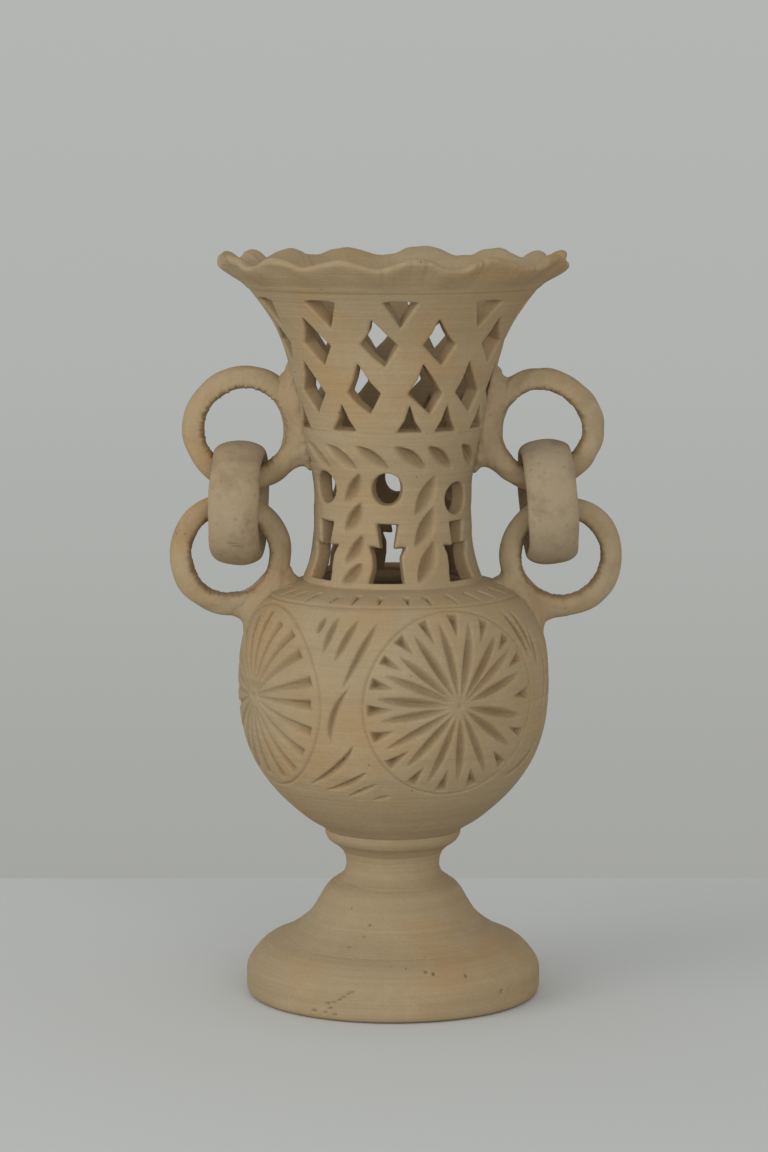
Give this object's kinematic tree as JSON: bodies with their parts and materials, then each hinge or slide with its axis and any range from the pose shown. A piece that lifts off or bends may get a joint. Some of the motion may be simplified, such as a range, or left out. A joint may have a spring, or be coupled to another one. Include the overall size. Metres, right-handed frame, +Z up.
{
  "type": "pierced clay vase with hanging links",
  "caption": "Unglazed pedestal vase with a carved globe, pierced neck and flare, crimped rim, and a loose link hung through two fixed rings on each side.",
  "frame": {"origin": "centre of the foot's underside, on the surface that the vase stands on", "axes": "+Z up along the turning axis; -Y is the front; +X to the right across both pairs of rings"},
  "size_m": [0.1819, 0.14, 0.2995],
  "materials": {
    "body_clay": "matt dry tan clay, turned and chip carved, unglazed and unburnished",
    "coil_clay": "matt tan clay coil, smoothed by hand",
    "luting_clay": "matt tan clay, smeared by hand, slightly rough",
    "link_clay": "matt tan clay, turned oval section, a shade greyer than the body"
  },
  "bodies": {
    "vase": {"pedestal_foot": "body_clay", "stem_spool": "body_clay", "globe_body": "body_clay", "neck_tube": "body_clay", "lattice_flare": "body_clay", "ruffled_rim": "body_clay", "upper_ring_left": "coil_clay", "lower_ring_left": "coil_clay", "upper_wad_left": "luting_clay", "lower_wad_left": "luting_clay", "upper_ring_right": "coil_clay", "lower_ring_right": "coil_clay", "upper_wad_right": "luting_clay", "lower_wad_right": "luting_clay"},
    "link_left_body": {"link_left": "link_clay"},
    "link_right_body": {"link_right": "link_clay"}
  },
  "joints": [
    {"name": "link_left_swing", "type": "hinge", "parent": "vase", "child": "link_left_body", "pos_m": [-0.06182, 0, 0.20865], "axis": [0.9972, -0.0697, -0.0262], "range_deg": [-60, 60]},
    {"name": "link_right_swing", "type": "hinge", "parent": "vase", "child": "link_right_body", "pos_m": [0.06203, 0, 0.20862], "axis": [0.9962, 0.0522, 0.0698], "range_deg": [-52, 52]}
  ]
}
